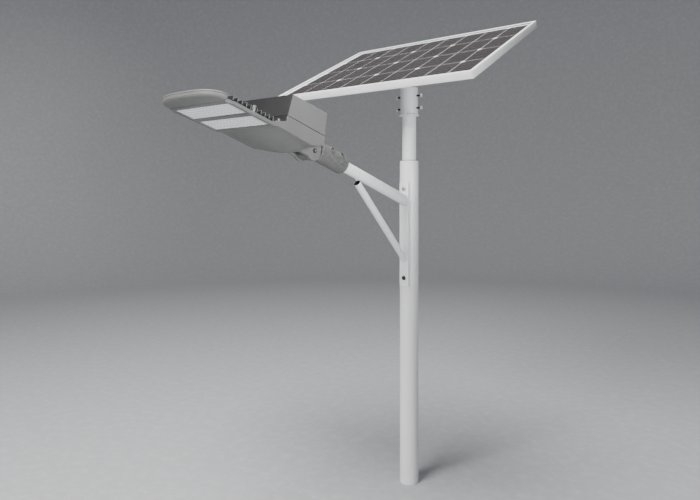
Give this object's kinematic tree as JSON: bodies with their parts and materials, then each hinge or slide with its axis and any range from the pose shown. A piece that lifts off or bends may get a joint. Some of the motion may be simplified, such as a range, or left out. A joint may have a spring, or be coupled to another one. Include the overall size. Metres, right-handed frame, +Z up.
{
  "type": "solar street lamp",
  "caption": "Pole-top solar street lamp: tilting framed panel on a swivel collar, LED head with battery box on a braced arm and knuckle clamp.",
  "frame": {"origin": "centre of the pole's lower end, on the pole's axis", "axes": "+Z up along the pole, -Y along the arm towards the lamp head, +X along the panel's long edge"},
  "size_m": [0.812, 1.309, 1.7367],
  "materials": {
    "white_paint": "white powder coat, semi gloss",
    "galvanised_steel": "hot-dip galvanised, matt spangle",
    "dark_steel": "blackened screws",
    "bright_steel": "stainless fasteners",
    "aluminium": "satin anodised frame",
    "head_paint": "grey powder-coated die casting",
    "lens_plastic": "moulded clear lens array over white board",
    "black_plastic": "black moulded housing",
    "rubber": "silicone seal",
    "glass": "toughened solar glass",
    "solar_cells": "monocrystalline cells on white back sheet",
    "circuit_board": "white LED board",
    "battery_wrap": "blue shrink wrap"
  },
  "bodies": {
    "pole": {"pole_tube": "white_paint", "mast_tube": "white_paint", "mast_top_bush": "white_paint", "mast_foot_bush": "galvanised_steel", "arm_back_plate": "white_paint", "arm_bolt_upper": "dark_steel", "arm_bolt_lower": "dark_steel", "arm_tube": "white_paint", "brace_tube": "white_paint"},
    "collar": {"panel_collar": "white_paint", "tilt_yoke": "galvanised_steel", "tilt_bolt": "bright_steel", "tilt_nut": "bright_steel", "collar_bolt_1": "dark_steel", "collar_bolt_2": "dark_steel", "collar_bolt_3": "dark_steel", "collar_bolt_4": "dark_steel"},
    "panel": {"cell_sheet": "solar_cells", "frame_bar_left": "aluminium", "frame_bar_lower": "aluminium", "frame_bar_right": "aluminium", "frame_bar_upper": "aluminium", "frame_bolt_1": "bright_steel", "frame_bolt_2": "bright_steel", "frame_bolt_3": "bright_steel", "frame_bolt_4": "bright_steel", "junction_box": "black_plastic", "junction_lid": "black_plastic", "panel_glass": "glass", "panel_saddle": "galvanised_steel", "saddle_bolt_1": "bright_steel", "saddle_bolt_2": "bright_steel", "saddle_bolt_3": "bright_steel", "saddle_bolt_4": "bright_steel", "support_rail_lower": "galvanised_steel", "support_rail_upper": "galvanised_steel"},
    "clamp": {"spigot_clamp": "head_paint", "clamp_bolt_1": "dark_steel", "clamp_bolt_2": "dark_steel"},
    "head": {"battery_cover": "head_paint", "battery_pack": "battery_wrap", "charge_controller": "black_plastic", "cover_gasket": "rubber", "cover_screw_1": "bright_steel", "cover_screw_2": "bright_steel", "cover_screw_3": "bright_steel", "cover_screw_4": "bright_steel", "head_frame": "head_paint", "head_housing": "head_paint", "head_pivot_bolt": "bright_steel", "head_pivot_nut": "bright_steel", "heat_sink_front": "head_paint", "heat_sink_rear": "head_paint", "led_board_front": "circuit_board", "led_board_rear": "circuit_board", "lens_plate_front": "lens_plastic", "lens_plate_rear": "lens_plastic", "tip_cap": "head_paint"}
  },
  "joints": [
    {"name": "panel_swivel", "type": "hinge", "parent": "pole", "child": "collar", "pos_m": [0, 0, 1.43], "axis": [0, 0, 1], "range_deg": [-180, 180]},
    {"name": "panel_tilt", "type": "hinge", "parent": "collar", "child": "panel", "pos_m": [0, 0, 1.518], "axis": [1, 0, 0], "range_deg": [-27, 18]},
    {"name": "head_roll", "type": "hinge", "parent": "pole", "child": "clamp", "pos_m": [0, -0.0383, 1.067], "axis": [0, -0.9578, 0.2874], "range_deg": [-20, 20]},
    {"name": "head_tilt", "type": "hinge", "parent": "clamp", "child": "head", "pos_m": [0, -0.5917, 1.2155], "axis": [1, 0, 0], "range_deg": [-15, 15]}
  ]
}
